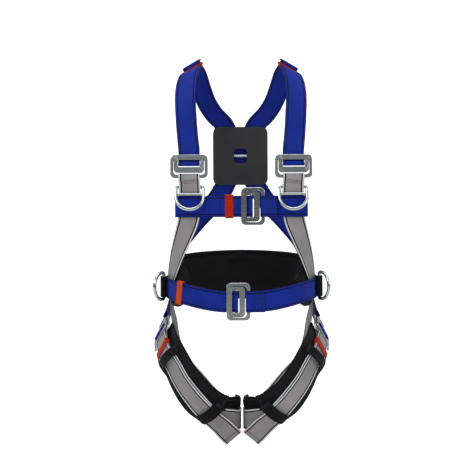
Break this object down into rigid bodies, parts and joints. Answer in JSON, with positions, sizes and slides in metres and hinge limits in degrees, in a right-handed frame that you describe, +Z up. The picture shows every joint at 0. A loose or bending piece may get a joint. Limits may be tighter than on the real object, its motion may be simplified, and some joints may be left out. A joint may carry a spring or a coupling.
{
  "type": "safety harness",
  "caption": "Full-body fall arrest harness: webbing straps, padded waist belt and leg loops, slot-and-link buckles, and attachment D-rings at chest, hips and back.",
  "frame": {"origin": "middle of the eye of the dorsal D-ring, the fall arrest attachment point between the shoulder blades", "axes": "+Z up the wearer's spine, -Y out of the wearer's chest, +X towards the wearer's left hand (the viewer's right when looking at the front); node names say left and right as seen from the front"},
  "size_m": [0.3916, 0.3074, 0.8502],
  "materials": {
    "blue_webbing": "woven polyester webbing, royal blue with darker selvedges",
    "grey_webbing": "woven polyester webbing, mid grey with black and white edge lines",
    "black_webbing": "woven black webbing",
    "pad_cloth": "padded black polyester cloth with bound edges",
    "plate_plastic": "moulded, lightly textured",
    "forged_steel": "forged bar, bright zinc plating",
    "pressed_steel": "pressed plate, bright zinc plating",
    "red_elastic": "flat woven elastic, red",
    "orange_elastic": "flat woven elastic, orange-red"
  },
  "bodies": {
    "harness": {"shoulder_strap_left": "blue_webbing", "shoulder_strap_right": "blue_webbing", "chest_web_left": "grey_webbing", "chest_web_right": "grey_webbing", "leg_strap_left": "grey_webbing", "leg_strap_right": "grey_webbing", "chest_strap_left": "blue_webbing", "chest_strap_right": "blue_webbing", "waist_belt": "blue_webbing", "waist_pad": "pad_cloth", "belt_loops": "black_webbing", "thigh_pad_left": "pad_cloth", "thigh_pad_right": "pad_cloth", "thigh_tunnel_left": "black_webbing", "thigh_tunnel_right": "black_webbing", "thigh_sleeve_left": "black_webbing", "thigh_sleeve_right": "black_webbing", "dorsal_plate": "plate_plastic", "hip_ring_tab_left": "black_webbing", "hip_ring_tab_right": "black_webbing", "shoulder_ring_left": "pressed_steel", "shoulder_ring_right": "pressed_steel", "chest_ring": "pressed_steel", "waist_ring": "pressed_steel", "thigh_ring_left": "pressed_steel", "thigh_ring_right": "pressed_steel"},
    "dorsal_dring": {"dorsal_dring": "forged_steel"},
    "chest_dring_left": {"chest_dring_left": "forged_steel"},
    "hip_dring_left": {"hip_dring_left": "forged_steel"},
    "shoulder_link_left": {"shoulder_link_left": "pressed_steel"},
    "thigh_link_left": {"thigh_link_left": "pressed_steel"},
    "shoulder_keeper_left": {"shoulder_keeper_left": "red_elastic"},
    "thigh_keeper_left": {"thigh_keeper_left": "red_elastic"},
    "chest_dring_right": {"chest_dring_right": "forged_steel"},
    "hip_dring_right": {"hip_dring_right": "forged_steel"},
    "shoulder_link_right": {"shoulder_link_right": "pressed_steel"},
    "thigh_link_right": {"thigh_link_right": "pressed_steel"},
    "shoulder_keeper_right": {"shoulder_keeper_right": "red_elastic"},
    "thigh_keeper_right": {"thigh_keeper_right": "red_elastic"},
    "chest_link": {"chest_link": "pressed_steel"},
    "waist_link": {"waist_link": "pressed_steel"},
    "chest_keeper": {"chest_keeper": "red_elastic"},
    "waist_keeper": {"waist_keeper": "orange_elastic"}
  },
  "joints": [
    {"name": "dorsal_ring_lift", "type": "hinge", "parent": "harness", "child": "dorsal_dring", "pos_m": [0, -0.01685, 0.01414], "axis": [1, 0, 0], "range_deg": [0, 80]},
    {"name": "chest_ring_lift_left", "type": "hinge", "parent": "harness", "child": "chest_dring_left", "pos_m": [-0.1088, -0.2649, -0.06386], "axis": [-1, 0, 0], "range_deg": [0, 90]},
    {"name": "hip_ring_swing_left", "type": "hinge", "parent": "harness", "child": "hip_dring_left", "pos_m": [-0.17, -0.18008, -0.27836], "axis": [0, 0, -1], "range_deg": [-15, 110]},
    {"name": "shoulder_link_tilt_left", "type": "hinge", "parent": "harness", "child": "shoulder_link_left", "pos_m": [-0.11, -0.27297, -0.01674], "axis": [1, 0, 0], "range_deg": [0, 40]},
    {"name": "thigh_link_tilt_left", "type": "hinge", "parent": "harness", "child": "thigh_link_left", "pos_m": [-0.17999, -0.14864, -0.38244], "axis": [0.4307, -0.406, 0.806], "range_deg": [0, 25]},
    {"name": "shoulder_keeper_slide_left", "type": "slide", "parent": "harness", "child": "shoulder_keeper_left", "axis": [0.2159, 0.9597, 0.1799], "range_m": [0, 0.003]},
    {"name": "thigh_keeper_slide_left", "type": "slide", "parent": "harness", "child": "thigh_keeper_left", "axis": [0.2281, -0.8151, -0.5325], "range_m": [-0.003, 0.003]},
    {"name": "chest_ring_lift_right", "type": "hinge", "parent": "harness", "child": "chest_dring_right", "pos_m": [0.1088, -0.2649, -0.06386], "axis": [-1, 0, 0], "range_deg": [0, 90]},
    {"name": "hip_ring_swing_right", "type": "hinge", "parent": "harness", "child": "hip_dring_right", "pos_m": [0.17, -0.18008, -0.27836], "axis": [0, 0, 1], "range_deg": [-15, 110]},
    {"name": "shoulder_link_tilt_right", "type": "hinge", "parent": "harness", "child": "shoulder_link_right", "pos_m": [0.11, -0.27297, -0.01674], "axis": [1, 0, 0], "range_deg": [0, 40]},
    {"name": "thigh_link_tilt_right", "type": "hinge", "parent": "harness", "child": "thigh_link_right", "pos_m": [0.17999, -0.14864, -0.38244], "axis": [0.4307, 0.406, -0.806], "range_deg": [0, 25]},
    {"name": "shoulder_keeper_slide_right", "type": "slide", "parent": "harness", "child": "shoulder_keeper_right", "axis": [-0.2159, 0.9597, 0.1799], "range_m": [0, 0.003]},
    {"name": "thigh_keeper_slide_right", "type": "slide", "parent": "harness", "child": "thigh_keeper_right", "axis": [-0.2281, -0.8151, -0.5325], "range_m": [-0.003, 0.003]},
    {"name": "chest_link_tilt", "type": "hinge", "parent": "harness", "child": "chest_link", "pos_m": [0.0195, -0.28045, -0.10586], "axis": [0, 0, 1], "range_deg": [0, 40]},
    {"name": "waist_link_tilt", "type": "hinge", "parent": "harness", "child": "waist_link", "pos_m": [-0.0121, -0.28145, -0.30586], "axis": [0, 0, 1], "range_deg": [0, 40]},
    {"name": "chest_keeper_slide", "type": "slide", "parent": "harness", "child": "chest_keeper", "axis": [1, 0, 0], "range_m": [-0.01, 0.01]},
    {"name": "waist_keeper_slide", "type": "slide", "parent": "harness", "child": "waist_keeper", "axis": [0.6933, -0.7072, -0.1387], "range_m": [-0.002, 0.003]}
  ]
}
